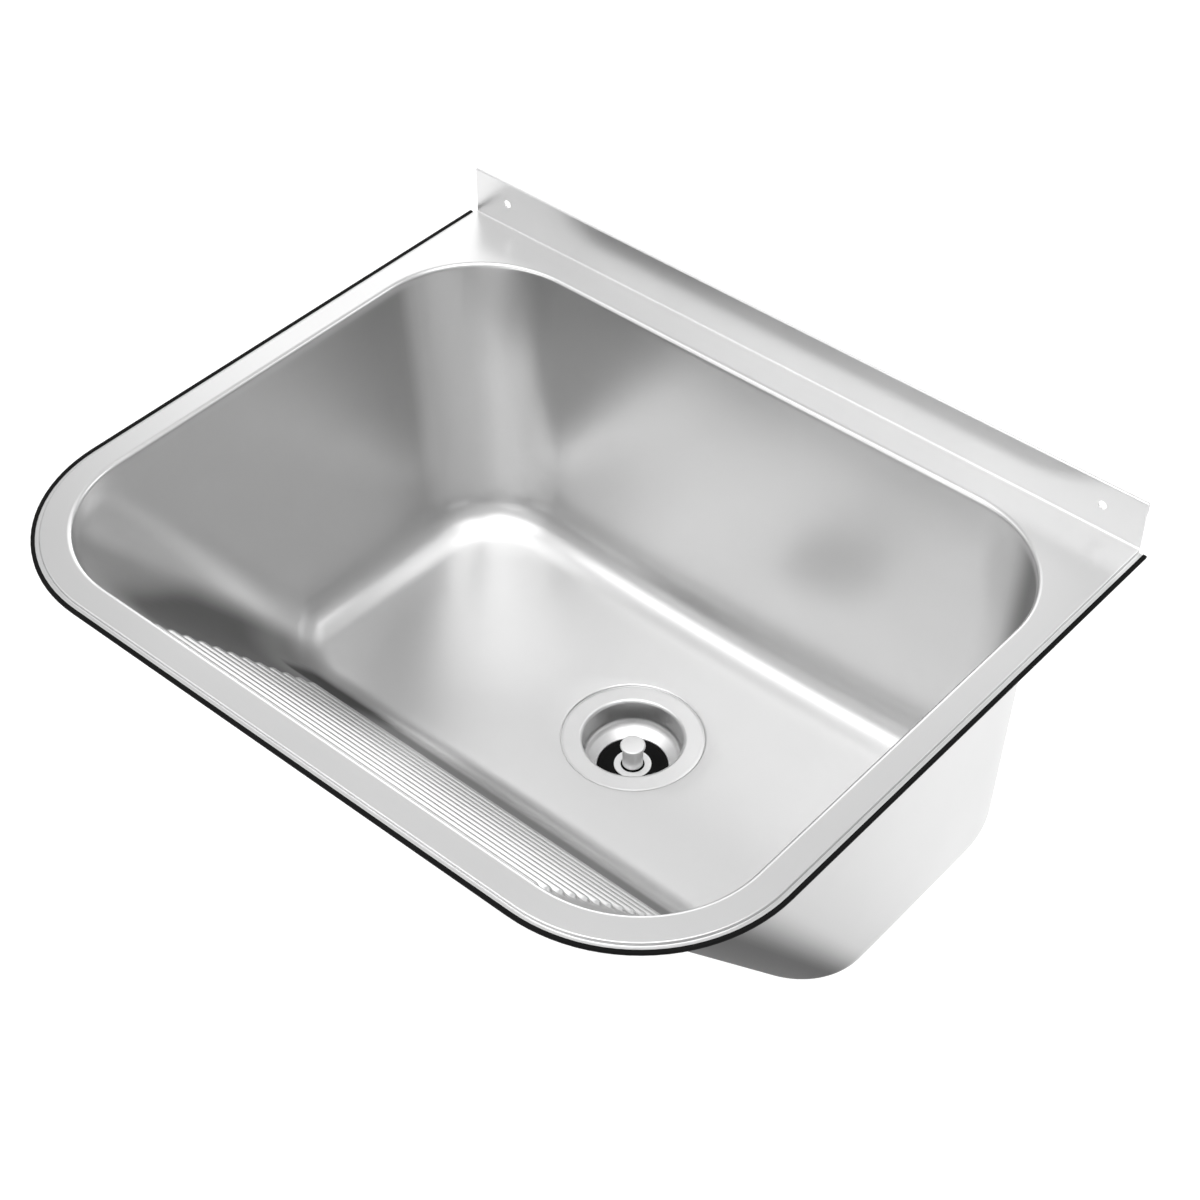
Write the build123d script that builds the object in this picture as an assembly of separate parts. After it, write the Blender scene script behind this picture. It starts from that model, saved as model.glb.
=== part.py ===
import os
from math import cos, radians, sin, tan

from build123d import *

# Wall-mounted stainless utility sink, in millimetres.
# X runs along the wall, Y points into the wall (wall plane y = 0), Z is up.
# The origin is midway between the two wall screw holes.

# Whole sink
overall_width = 550.0  # outside of the edge strip
overall_depth = 452.0  # wall plane to the nose of the edge strip
basin_depth = 233.6  # deck top to the lowest point of the floor
sheet = 1.0  # stainless sheet of the basin and the deck

# Wall upstand
upstand_height = 35.0  # above the deck
hem_height = 8.5
hem_gap = 0.2  # left between the two layers of the hem
fold_radius = 1.2  # inside of the fold between deck and upstand
hole_from_end = 29.6  # screw centre to the upstand's end
hole_diameter = 6.0
hole_height = 18.0  # screw centre above the deck

# Rim: flat ledge, step, flange and edge strip
ledge_side = 21.2  # outside of the strip to the seam round the mouth
ledge_front = 22.0
ledge_back = 24.7  # wall plane to the seam
rim_corner_radius = 104.0  # outside of the strip
step_drop = 2.0
step_edge_radius = 0.8
flange_show = 2.8  # flange seen between the step and the strip
strip_width = 2.6
strip_thickness = 2.2
strip_grip = 2.0  # flange edge held inside the strip
strip_nose_radius = 0.6

# Bowl
mouth_corner_radius = 83.0  # at the seam
lip_radius = 3.0
side_draft = 2.9  # degrees
back_draft = 0.8
washboard_angle = 50.4  # slope of the front wall, from level
washboard_top = 12.7  # depth where the straight front wall meets the slope
front_floor_radius = 54.0  # upright corners at the floor
back_floor_radius = 69.0
floor_fillet = 30.0
dish_radius = 3500.0  # gentle fall of the floor to the drain
knee_steps = 3

# Washboard ribs
rib_count = 12
rib_pitch = 16.1  # along the slope
rib_start = 26.3  # from the meeting line down the slope to the first rib
rib_length = 310.0
rib_width = 9.5
rib_height = 2.6

# Drain seat pressed into the floor
drain_from_wall = 147.4
seat_diameter = 98.0
seat_depth = 2.6
seat_bend_radius = 0.6
neck_clearance = 1.2  # floor hole round the threaded neck

# Drain cup and what clamps it
cup_sheet = 1.2
cup_flange_diameter = 97.0
cup_bore = 69.2
cup_lip_radius = 2.4
cup_wall_depth = 20.0  # flange top to the foot of the straight wall
cup_foot_radius = 9.0
seat_ledge_width = 4.0  # flat that the stopper rests on
seat_ledge_depth = 30.0  # flange top to the ledge
ledge_bend = 1.0  # middle line of the two bends round the ledge
seal_thickness = 0.8
seal_width = 7.5
seal_setback = 1.0  # seal edge inside the flange edge
gasket_thickness = 2.5
gasket_width = 13.0
gasket_clearance = 0.5  # round the threaded neck
washer_thickness = 1.0
washer_setback = 1.0  # washer edge inside the gasket edge
nut_height = 8.0
nut_wall = 10.5
nut_lug_count = 8
nut_lug_width = 7.0
nut_lug_reach = 4.0
nut_edge_radius = 0.8

# Outlet
outlet_diameter = 47.8  # G 1 1/2 pipe thread
outlet_length = 32.0
outlet_bore = 41.0
outlet_collar_width = 4.5
outlet_collar_thickness = 2.5
outlet_chamfer = 1.2
cross_drop = 14.0  # collar top to the top of the guide cross
cross_height = 8.0
cross_ring_wall = 1.6
cross_arm_count = 4
cross_arm_width = 2.2
hub_wall = 2.6

# Stopper
stopper_clearance = 0.3
seal_disc_thickness = 3.0
seal_disc_edge = 0.5
ring_diameter = 26.0
ring_thickness = 0.8
post_diameter = 14.3
post_gap = 1.1  # between the post and the ring
knob_height = 20.3
head_diameter = 17.5
head_thickness = 2.8
head_edge_radius = 1.0
head_crown = 0.4
stem_diameter = 6.0
stem_in_knob = 12.0
backing_diameter = 34.0
backing_thickness = 1.2
stem_nut_flats = 10.0
stem_nut_height = 5.0
grip_wall = 2.2
grip_length = 9.0
grip_edge_radius = 1.0

# Levels and places that follow from the sizes
deck_z = -hole_height
floor_z = deck_z - basin_depth
wall_sheet_back = -(sheet + hem_gap)
upstand_face = wall_sheet_back - sheet
rim_back = upstand_face - fold_radius  # back end of the flat deck, the step, the flange and the strip
flange_z = deck_z - step_drop
deck_inset = strip_width + flange_show
hole_spacing = overall_width - 2 * (deck_inset + hole_from_end)
drain_y = -drain_from_wall
turn = 90.0 - washboard_angle
knee_radius = (washboard_top - lip_radius) / tan(radians(turn / 2))
seat_z = floor_z - seat_depth
flange_top = seat_z + seal_thickness + cup_sheet
neck_radius = cup_bore / 2 + cup_sheet
floor_hole_radius = neck_radius + neck_clearance
ledge_z = flange_top - seat_ledge_depth
disc_top = ledge_z + seal_disc_thickness
spigot_top = ledge_z - cup_sheet
gasket_top = seat_z - sheet
nut_top = gasket_top - gasket_thickness - washer_thickness
grip_radius = stem_diameter / 2 + grip_wall
hub_bore_radius = grip_radius + stopper_clearance
cross_top = spigot_top - cross_drop
stem_foot = cross_top - cross_height


def rounded_outline(half_width, front_y, back_y, front_radius, back_radius):
    # Level rectangle with one radius for its front corners and one for its back corners.
    edges = [
        Line((front_radius - half_width, front_y), (half_width - front_radius, front_y)),
        CenterArc((half_width - front_radius, front_y + front_radius), front_radius, 270, 90),
        Line((half_width, front_y + front_radius), (half_width, back_y - back_radius)),
        CenterArc((half_width - back_radius, back_y - back_radius), back_radius, 0, 90),
        Line((half_width - back_radius, back_y), (back_radius - half_width, back_y)),
        CenterArc((back_radius - half_width, back_y - back_radius), back_radius, 90, 90),
        Line((-half_width, back_y - back_radius), (-half_width, front_y + front_radius)),
        CenterArc((front_radius - half_width, front_y + front_radius), front_radius, 180, 90),
    ]
    return Face(Wire(edges))


def rim_outline(inset, back_y):
    # Outline of the rim, moved in from the strip's nose, with square corners at the wall.
    half_width = overall_width / 2 - inset
    front_y = inset - overall_depth
    radius = rim_corner_radius - inset
    edges = [
        Line((radius - half_width, front_y), (half_width - radius, front_y)),
        CenterArc((half_width - radius, front_y + radius), radius, 270, 90),
        Line((half_width, front_y + radius), (half_width, back_y)),
        Line((half_width, back_y), (-half_width, back_y)),
        Line((-half_width, back_y), (-half_width, front_y + radius)),
        CenterArc((radius - half_width, front_y + radius), radius, 180, 90),
    ]
    return Face(Wire(edges))


def seam_outline():
    # The line round the mouth where the basin's lip meets the deck.
    return rounded_outline(
        overall_width / 2 - ledge_side,
        ledge_front - overall_depth,
        -ledge_back,
        mouth_corner_radius,
        mouth_corner_radius,
    )


def slab(face, low_z, high_z):
    return Pos(0, 0, low_z) * extrude(face, high_z - low_z, dir=(0, 0, 1))


def rim_band(outer_inset, inner_inset, low_z, high_z):
    # Band along the left, front and right of the rim, open at the wall.
    outer = slab(rim_outline(outer_inset, rim_back), low_z, high_z)
    inner = slab(rim_outline(inner_inset, 0), low_z, high_z)
    return outer - inner


def turned(points, radii=0.0):
    # Solid of revolution about the drain's axis from (radius, z) points.
    if radii:
        outline = FilletPolyline(*points, radius=radii, close=True)
    else:
        outline = Polyline(*points, close=True)
    return Pos(0, drain_y, 0) * revolve(Plane.XZ * make_face(outline), Axis.Z)


def turned_ring(inner_radius, outer_radius, low_z, high_z):
    return turned(
        [(inner_radius, low_z), (outer_radius, low_z), (outer_radius, high_z), (inner_radius, high_z)]
    )


def bowl_section(depth, front_run, grow):
    # Outline of the bowl at a depth below the deck, grown by the sheet for its outside.
    fall = depth - lip_radius
    share = fall / (basin_depth - lip_radius)
    top_radius = mouth_corner_radius - lip_radius
    half_width = overall_width / 2 - ledge_side - lip_radius - fall * tan(radians(side_draft))
    back_y = -ledge_back - lip_radius - fall * tan(radians(back_draft))
    front_y = ledge_front + lip_radius - overall_depth + front_run
    outline = rounded_outline(
        half_width + grow,
        front_y,
        back_y + grow,
        top_radius + (front_floor_radius - top_radius) * share + grow,
        top_radius + (back_floor_radius - top_radius) * share + grow,
    )
    return Pos(0, 0, deck_z - depth) * outline


def bowl_volume(grow):
    # The bowl as a full volume: a bend under the lip, straight walls, a dished floor with a wide fillet,
    # and the pressed drain seat.
    bend = []
    for step in range(knee_steps + 1):
        angle = radians(turn) * step / knee_steps
        depth = lip_radius + (knee_radius + grow) * sin(angle)
        run = knee_radius - (knee_radius + grow) * cos(angle)
        bend.append(bowl_section(depth, run, grow))
    below_floor = basin_depth + floor_fillet
    low_run = run + (below_floor - depth) / tan(radians(washboard_angle))
    upper = loft(bend)
    lower = loft([bend[-1], bowl_section(below_floor, low_run, grow)], ruled=True)
    ball = Pos(0, drain_y, floor_z + dish_radius) * (Rot(90, 0, 0) * Sphere(dish_radius + grow))
    volume = (upper + lower) & ball
    floor = volume.faces().filter_by(GeomType.SPHERE)[0]
    volume = fillet(floor.edges(), floor_fillet + grow)
    seat_radius = seat_diameter / 2 + grow
    seat = turned_ring(0, seat_radius, seat_z - grow, floor_z + sheet)
    volume = volume + seat
    rims = volume.edges().filter_by(GeomType.CIRCLE)
    rims = rims.filter_by(lambda edge: abs(edge.radius - seat_radius) < sheet / 2).sort_by(Axis.Z)
    volume = fillet(rims[-1], seat_bend_radius + sheet - grow)
    rims = volume.edges().filter_by(GeomType.CIRCLE)
    rims = rims.filter_by(lambda edge: abs(edge.radius - seat_radius) < sheet / 2).sort_by(Axis.Z)
    return fillet(rims[0], seat_bend_radius + grow)


def washboard_ribs(shrink):
    # Round-ended bars sunk under the slope, so that their backs stand out as ribs.
    bar_radius = (rib_width**2 / 4 + rib_height**2) / (2 * rib_height)
    sunk = bar_radius - rib_height
    half_bar = rib_length / 2 - rib_width / 2
    radius = bar_radius - shrink
    profile = [
        Line((-half_bar - radius, 0), (half_bar + radius, 0)),
        CenterArc((half_bar, 0), radius, 0, 90),
        Line((half_bar, radius), (-half_bar, radius)),
        CenterArc((-half_bar, 0), radius, 90, 90),
    ]
    bar = revolve(Face(Wire(profile)), Axis.X)
    slope_cos = cos(radians(washboard_angle))
    slope_sin = sin(radians(washboard_angle))
    ribs = []
    for index in range(rib_count):
        along = rib_start + index * rib_pitch
        y = ledge_front + lip_radius - overall_depth + along * slope_cos - sunk * slope_sin
        z = deck_z - washboard_top - along * slope_sin - sunk * slope_cos
        ribs.append(Pos(0, y, z) * bar)
    return ribs


def make_lip():
    # Rolled edge of the basin, a quarter bend that ends square at the seam.
    seam = seam_outline().outer_wire()
    half_front = overall_width / 2 - ledge_side - mouth_corner_radius
    start = (-half_front, ledge_front - overall_depth, deck_z - lip_radius)
    profile = [
        CenterArc((0, 0), lip_radius, 0, 90),
        Line((0, lip_radius), (0, lip_radius - sheet)),
        CenterArc((0, 0), lip_radius - sheet, 0, 90),
        Line((lip_radius - sheet, 0), (lip_radius, 0)),
    ]
    bend = Plane(start, x_dir=(0, 1, 0), z_dir=(1, 0, 0)) * Face(Wire(profile))
    return sweep(bend, path=Pos(0, 0, deck_z - lip_radius) * seam)


def make_basin():
    inside = bowl_volume(0)
    for rib in washboard_ribs(0):
        inside = inside - rib
    outside = bowl_volume(sheet)
    for groove in washboard_ribs(sheet):
        outside = outside - groove
    hole = turned_ring(0, floor_hole_radius, seat_z - 2 * sheet, floor_z)
    return outside - inside - hole + make_lip()


def make_upstand():
    # Folded sheet seen from its end: up from the deck, then back over itself as a hem.
    centre = upstand_face + sheet / 2
    hem_turn = (sheet + hem_gap) / 2
    top = deck_z + upstand_height - sheet / 2 - hem_turn
    fold = fold_radius + sheet / 2
    level = deck_z - sheet / 2
    path = [
        CenterArc((rim_back, level + fold), fold, 270, 90),
        Line((centre, level + fold), (centre, top)),
        CenterArc((centre + hem_turn, top), hem_turn, 180, -180),
        Line((centre + 2 * hem_turn, top), (centre + 2 * hem_turn, deck_z + upstand_height - hem_height)),
    ]
    half_width = overall_width / 2 - deck_inset
    profile = Plane.YZ * trace(Wire(path), sheet)
    upstand = Pos(-half_width, 0, 0) * extrude(profile, 2 * half_width, dir=(1, 0, 0))
    for side in (-1, 1):
        hole = Rot(90, 0, 0) * Cylinder(hole_diameter / 2, 4 * sheet)
        upstand = upstand - Pos(side * hole_spacing / 2, upstand_face, 0) * hole
    return upstand


def make_rim_deck():
    plate = slab(rim_outline(deck_inset, rim_back), deck_z - sheet, deck_z)
    step = rim_band(deck_inset, deck_inset + sheet, flange_z - sheet, deck_z)
    flange = rim_band(strip_width - strip_grip, deck_inset + sheet, flange_z - sheet, flange_z)
    deck = plate + step + flange
    top = deck.faces().filter_by(Axis.Z).sort_by(Axis.Z)[-1]
    edges = top.outer_wire().edges().filter_by(lambda edge: edge.center().Y < rim_back - sheet / 2)
    deck = fillet(edges, step_edge_radius)
    mouth = slab(seam_outline(), deck_z - 2 * sheet, deck_z + sheet)
    return deck - mouth + make_upstand()


def make_edge_strip():
    middle = flange_z - sheet / 2
    low_z = middle - strip_thickness / 2
    high_z = middle + strip_thickness / 2
    block = slab(rim_outline(0, rim_back), low_z, high_z)
    edges = block.edges().filter_by(Axis.Z, reverse=True)
    edges = edges.filter_by(lambda edge: edge.center().Y < rim_back - sheet / 2)
    block = fillet(edges, strip_nose_radius)
    block = block - slab(rim_outline(strip_width, 0), low_z - sheet, high_z + sheet)
    return block - rim_band(strip_width - strip_grip, strip_width + sheet, flange_z - sheet, flange_z)


def make_drain_cup():
    # Pressed sheet on its middle line: flange, straight neck, cone and the ledge for the stopper.
    half = cup_sheet / 2
    neck = cup_bore / 2 + half
    ledge = outlet_bore / 2 + seat_ledge_width + half
    points = [
        (cup_flange_diameter / 2, flange_top - half),
        (neck, flange_top - half),
        (neck, flange_top - cup_wall_depth - half),
        (ledge, disc_top - half),
        (ledge, ledge_z - half),
        (outlet_bore / 2, ledge_z - half),
    ]
    bends = [cup_lip_radius - half, cup_foot_radius + half, ledge_bend, ledge_bend]
    profile = Plane.XZ * trace(FilletPolyline(*points, radius=bends), cup_sheet)
    return Pos(0, drain_y, 0) * revolve(profile, Axis.Z)


def make_flange_seal():
    outer = cup_flange_diameter / 2 - seal_setback
    return turned_ring(outer - seal_width, outer, seat_z, seat_z + seal_thickness)


def make_underside_gasket():
    inner = neck_radius + gasket_clearance
    return turned_ring(inner, inner + gasket_width, gasket_top - gasket_thickness, gasket_top)


def make_slip_washer():
    inner = neck_radius + gasket_clearance
    outer = inner + gasket_width - washer_setback
    return turned_ring(inner, outer, nut_top, nut_top + washer_thickness)


def make_lock_nut():
    low_z = nut_top - nut_height
    outer = neck_radius + nut_wall
    nut = turned_ring(0, outer, low_z, nut_top)
    for index in range(nut_lug_count):
        lug = Pos(outer, 0, 0) * Box(2 * nut_lug_reach, nut_lug_width, nut_height)
        lug = Rot(0, 0, 360 * index / nut_lug_count) * lug
        nut = nut + Pos(0, drain_y, low_z + nut_height / 2) * lug
    nut = fillet(nut.edges().filter_by(Axis.Z), nut_edge_radius)
    return nut - turned_ring(0, neck_radius, low_z, nut_top)


def make_outlet_spigot():
    bore = outlet_bore / 2
    outer = outlet_diameter / 2
    collar = outer + outlet_collar_width
    foot = spigot_top - outlet_length
    return turned(
        [
            (bore, spigot_top),
            (collar, spigot_top),
            (collar, spigot_top - outlet_collar_thickness),
            (outer, spigot_top - outlet_collar_thickness),
            (outer, foot + outlet_chamfer),
            (outer - outlet_chamfer, foot),
            (bore, foot),
        ]
    )


def make_guide_cross():
    outer = outlet_bore / 2
    low_z = cross_top - cross_height
    cross = turned_ring(outer - cross_ring_wall, outer, low_z, cross_top)
    cross = cross + turned_ring(0, hub_bore_radius + hub_wall, low_z, cross_top)
    reach = outer - cross_ring_wall / 2
    for index in range(cross_arm_count):
        arm = Pos(reach / 2, 0, 0) * Box(reach, cross_arm_width, cross_height)
        arm = Rot(0, 0, 360 * (index + 0.5) / cross_arm_count) * arm
        cross = cross + Pos(0, drain_y, low_z + cross_height / 2) * arm
    return cross - turned_ring(0, hub_bore_radius, low_z, cross_top)


def make_stopper_seal():
    outer = outlet_bore / 2 + seat_ledge_width - stopper_clearance
    inner = stem_diameter / 2
    points = [(inner, ledge_z), (outer, ledge_z), (outer, disc_top), (inner, disc_top)]
    return turned(points, [0, seal_disc_edge, seal_disc_edge, 0])


def make_stopper_washer():
    inner = post_diameter / 2 + post_gap
    return turned_ring(inner, ring_diameter / 2, disc_top, disc_top + ring_thickness)


def make_stopper_knob():
    head_top = disc_top + knob_height
    head_foot = head_top - head_thickness
    post = post_diameter / 2
    head = head_diameter / 2
    stem = stem_diameter / 2
    points = [
        (stem, disc_top),
        (post, disc_top),
        (post, head_foot),
        (head, head_foot),
        (head, head_top - head_crown),
        (0, head_top),
        (0, disc_top + stem_in_knob),
        (stem, disc_top + stem_in_knob),
    ]
    return turned(points, [0, 0, 0, head_edge_radius, head_edge_radius, 0, 0, 0])


def make_stopper_stem():
    return turned_ring(0, stem_diameter / 2, stem_foot, disc_top + stem_in_knob)


def make_stopper_backing():
    return turned_ring(stem_diameter / 2, backing_diameter / 2, ledge_z - backing_thickness, ledge_z)


def make_stem_nut():
    top = ledge_z - backing_thickness
    hexagon = RegularPolygon(stem_nut_flats / 2, 6, major_radius=False)
    nut = Pos(0, drain_y, top - stem_nut_height) * extrude(hexagon, stem_nut_height)
    return nut - turned_ring(0, stem_diameter / 2, top - stem_nut_height, top)


def make_stem_grip():
    inner = stem_diameter / 2
    points = [
        (inner, stem_foot),
        (grip_radius, stem_foot),
        (grip_radius, stem_foot + grip_length),
        (inner, stem_foot + grip_length),
    ]
    return turned(points, [0, grip_edge_radius, grip_edge_radius, 0])


pieces = {
    "basin": make_basin,
    "rim_deck": make_rim_deck,
    "edge_strip": make_edge_strip,
    "drain_cup": make_drain_cup,
    "flange_seal": make_flange_seal,
    "underside_gasket": make_underside_gasket,
    "slip_washer": make_slip_washer,
    "lock_nut": make_lock_nut,
    "outlet_spigot": make_outlet_spigot,
    "guide_cross": make_guide_cross,
    "stopper_seal": make_stopper_seal,
    "stopper_washer": make_stopper_washer,
    "stopper_knob": make_stopper_knob,
    "stopper_stem": make_stopper_stem,
    "stopper_backing": make_stopper_backing,
    "stem_nut": make_stem_nut,
    "stem_grip": make_stem_grip,
}

os.makedirs("parts", exist_ok=True)
for name, make in pieces.items():
    export_step(make(), "parts/" + name + ".step")
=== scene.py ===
import math
from functools import partial

import bmesh
import bpy
import numpy as np
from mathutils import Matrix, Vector


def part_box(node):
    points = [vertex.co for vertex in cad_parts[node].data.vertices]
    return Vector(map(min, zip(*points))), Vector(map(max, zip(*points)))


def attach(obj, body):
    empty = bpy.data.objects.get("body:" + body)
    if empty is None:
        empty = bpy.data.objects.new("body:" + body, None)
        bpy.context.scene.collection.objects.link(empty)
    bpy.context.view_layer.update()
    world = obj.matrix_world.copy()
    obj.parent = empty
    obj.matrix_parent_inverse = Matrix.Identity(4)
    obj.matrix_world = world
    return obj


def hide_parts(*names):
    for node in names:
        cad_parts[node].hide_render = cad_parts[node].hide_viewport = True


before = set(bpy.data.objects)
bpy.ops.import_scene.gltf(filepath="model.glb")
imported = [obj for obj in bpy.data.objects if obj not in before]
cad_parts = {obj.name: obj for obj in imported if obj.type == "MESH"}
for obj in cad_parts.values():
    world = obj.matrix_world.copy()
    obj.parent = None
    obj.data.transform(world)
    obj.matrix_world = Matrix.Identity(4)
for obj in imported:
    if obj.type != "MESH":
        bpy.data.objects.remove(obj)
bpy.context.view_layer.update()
mm = 0.001
print("frame loaded with", len(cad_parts), "nodes")

# places read from the frame
seamLow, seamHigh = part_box("basin")
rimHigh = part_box("rim_deck")[1]
stripLow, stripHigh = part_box("edge_strip")
cupLow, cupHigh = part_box("drain_cup")
deckZ = seamHigh.z  # the basin's lip ends level with the deck
drainY = (cupLow.y + cupHigh.y) / 2


def level(node, end):
    # lowest (0) or highest (1) level of a node, in millimetres
    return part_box(node)[end].z / mm


def between(first, second, share):
    return first + (second - first) * share


# mesh helpers

def newPiece(name, verts, faces, edges=()):
    mesh = bpy.data.meshes.new(name)
    mesh.from_pydata([tuple(v) for v in verts], list(edges), faces)
    mesh.update()
    piece = bpy.data.objects.new(name, mesh)
    bpy.context.scene.collection.objects.link(piece)
    return piece


def shadeSmooth(piece, sharpAngle):
    mesh = piece.data
    mesh.polygons.foreach_set("use_smooth", [True] * len(mesh.polygons))
    mesh.set_sharp_from_angle(angle=math.radians(sharpAngle))


def applyModifiers(piece):
    # the evaluated shape becomes the piece's own plain mesh
    graph = bpy.context.evaluated_depsgraph_get()
    solid = bpy.data.meshes.new_from_object(piece.evaluated_get(graph), depsgraph=graph)
    piece.modifiers.clear()
    piece.data = solid


def faceOutwards(piece):
    work = bmesh.new()
    work.from_mesh(piece.data)
    bmesh.ops.remove_doubles(work, verts=work.verts, dist=0.001 * mm)
    # slits of up to four sides, where two bands meet
    slits = [edge for edge in work.edges if edge.is_boundary]
    bmesh.ops.holes_fill(work, edges=slits, sides=4)
    bmesh.ops.recalc_face_normals(work, faces=work.faces)
    work.to_mesh(piece.data)
    work.free()


def gridFaces(rows, columns, closedRows=False):
    # closed round the columns; the last row joins the first where closedRows is set
    faces = []
    for row in range(rows if closedRows else rows - 1):
        top = row * columns
        low = (row + 1) % rows * columns
        for column in range(columns):
            after = (column + 1) % columns
            faces.append((top + column, top + after, low + after, low + column))
    return faces


def dress(piece, body, material, slotName, *nodes):
    piece.data.materials.clear()
    piece.data.materials.append(material)
    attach(piece, body)
    if nodes:
        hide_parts(*nodes)


def arcTurn(first, second, share):
    # from one spoke to another of the same length
    angle = math.acos(np.dot(first, second) / np.dot(first, first))
    turned = math.sin((1 - share) * angle) * first + math.sin(share * angle) * second
    return turned / math.sin(angle)


def bend(before, corner, after, radius, steps):
    # points of an arc that rounds a corner, with the unit spoke at each
    toBefore = (before - corner) / np.linalg.norm(before - corner)
    toAfter = (after - corner) / np.linalg.norm(after - corner)
    half = math.acos(np.clip(np.dot(toBefore, toAfter), -1.0, 1.0)) / 2
    inward = (toBefore + toAfter) / np.linalg.norm(toBefore + toAfter)
    centre = corner + inward * radius / math.sin(half)
    start = corner + toBefore * radius / math.tan(half) - centre
    end = corner + toAfter * radius / math.tan(half) - centre
    spokes = [arcTurn(start, end, step / steps) for step in range(steps + 1)]
    return [(centre + spoke, spoke / radius) for spoke in spokes]


def keepFlat(points, closed, margin=0.15):
    # extra points near the ends of each long run, so that smooth shading leaves the run flat
    kept = []
    count = len(points)
    for index in range(count):
        here = np.array(points[index])
        kept.append(here)
        if index == count - 1 and not closed:
            break
        run = np.array(points[(index + 1) % count]) - here
        length = np.linalg.norm(run)
        if length > 6 * margin:
            kept.append(here + run * margin / length)
            kept.append(here + run * (1.0 - margin / length))
    return kept


def roundCorners(points, radii, steps=5):
    # closed outline with each corner rounded by its own radius
    corners = [np.array(point, dtype=float) for point in points]
    outline = []
    for index, radius in enumerate(radii):
        before, after = corners[index - 1], corners[(index + 1) % len(corners)]
        if radius > 0:
            outline += [point for point, _ in bend(before, corners[index], after, radius, steps)]
        else:
            outline.append(corners[index])
    return keepFlat(outline, True)


def sheetOutline(points, bends, thickness, steps=8):
    # closed outline of a bent sheet from its middle line
    corners = [np.array(point, dtype=float) for point in points]
    middle, normals = [corners[0]], []
    for index in range(1, len(corners) - 1):
        arc = bend(corners[index - 1], corners[index], corners[index + 1], bends[index - 1], steps)
        middle += [point for point, _ in arc]
    middle.append(corners[-1])
    for index, point in enumerate(middle):
        run = middle[min(index + 1, len(middle) - 1)] - middle[max(index - 1, 0)]
        normals.append(np.array([-run[1], run[0]]) / np.linalg.norm(run))
    left = [point + normal * thickness / 2 for point, normal in zip(middle, normals)]
    right = [point - normal * thickness / 2 for point, normal in zip(middle, normals)]
    return keepFlat(left, False) + keepFlat(right, False)[::-1]


def turnPiece(name, outline, steps=96):
    # closed outline of (radius, level) in millimetres, turned about the drain's axis
    places = []
    for radius, height in outline:
        for step in range(steps):
            angle = 2 * math.pi * step / steps
            x, y = radius * mm * math.cos(angle), radius * mm * math.sin(angle)
            places.append((x, drainY + y, height * mm))
    piece = newPiece(name, places, gridFaces(len(outline), steps, True))
    faceOutwards(piece)
    shadeSmooth(piece, 35.0)
    return piece


# node helpers

def addSocket(tree, name, kind, inOut="INPUT"):
    tree.interface.new_socket(name, in_out=inOut, socket_type="NodeSocket" + kind)


def feed(tree, socket, value):
    # value is another socket, or a fixed number, colour or name
    if isinstance(value, bpy.types.NodeSocket):
        tree.links.new(value, socket)
    else:
        socket.default_value = value


def addNode(tree, kind, inputs=None, **settings):
    # settings are the node's own choices, inputs are fed by name or number
    node = tree.nodes.new(kind)
    for setting, value in settings.items():
        setattr(node, setting, value)
    for socket, value in (inputs or {}).items():
        feed(tree, node.inputs[socket], value)
    return node


def calc(tree, operation, *values):
    node = addNode(tree, "ShaderNodeMath", dict(enumerate(values)), operation=operation)
    return node.outputs[0]


def newTree(name, sizes, kind="Float"):
    # a tree for shapes, with a named input for each size and one for the material
    tree = bpy.data.node_groups.new(name, "GeometryNodeTree")
    addSocket(tree, "Geometry", "Geometry")
    addSocket(tree, "Geometry", "Geometry", "OUTPUT")
    for size in sizes:
        addSocket(tree, size, kind)
    addSocket(tree, "Material", "Material")
    return tree, addNode(tree, "NodeGroupInput").outputs


def closeTree(tree, size, geometry):
    real = addNode(tree, "GeometryNodeRealizeInstances", {"Geometry": geometry})
    paint = {"Geometry": real.outputs["Geometry"], "Material": size["Material"]}
    painted = addNode(tree, "GeometryNodeSetMaterial", paint)
    addNode(tree, "NodeGroupOutput", {"Geometry": painted.outputs["Geometry"]})
    return tree


def movePoints(tree, size, offset):
    inputs = {"Geometry": size["Geometry"], "Offset": offset}
    move = addNode(tree, "GeometryNodeSetPosition", inputs)
    return closeTree(tree, size, move.outputs["Geometry"])


def runTree(piece, tree, values):
    # inputs are set by identifier before the piece is first evaluated
    modifier = piece.modifiers.new(tree.name, "NODES")
    modifier.node_group = tree
    for item in tree.interface.items_tree:
        if item.in_out == "INPUT" and item.name in values:
            modifier[item.identifier] = values[item.name]
    applyModifiers(piece)


def markPoints(piece, name, values):
    layer = piece.data.attributes.new(name, "FLOAT", "POINT")
    layer.data.foreach_set("value", values)


def readMark(tree, name):
    node = addNode(tree, "GeometryNodeInputNamedAttribute", {"Name": name}, data_type="FLOAT")
    return node.outputs["Attribute"]


def readPlace(tree):
    position = addNode(tree, "GeometryNodeInputPosition").outputs["Position"]
    return addNode(tree, "ShaderNodeSeparateXYZ", {"Vector": position}).outputs


# materials

def grey(tone):
    return (tone, tone, tone, 1.0)


def newMaterial(name, values):
    material = bpy.data.materials.new(name)
    material.use_nodes = True
    shader = material.node_tree.nodes["Principled BSDF"]
    for socket, value in values.items():
        shader.inputs[socket].default_value = value
    return material, material.node_tree, shader


def mixColour(tree, factor, first, second):
    mix = addNode(tree, "ShaderNodeMix", {"Factor": factor, 6: first, 7: second}, data_type="RGBA")
    return mix.outputs[2]


def spread(tree, value, low, high):
    # a 0 to 1 value spread between two others
    node = addNode(tree, "ShaderNodeMapRange", {"Value": value, "To Min": low, "To Max": high})
    return node.outputs["Result"]


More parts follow.
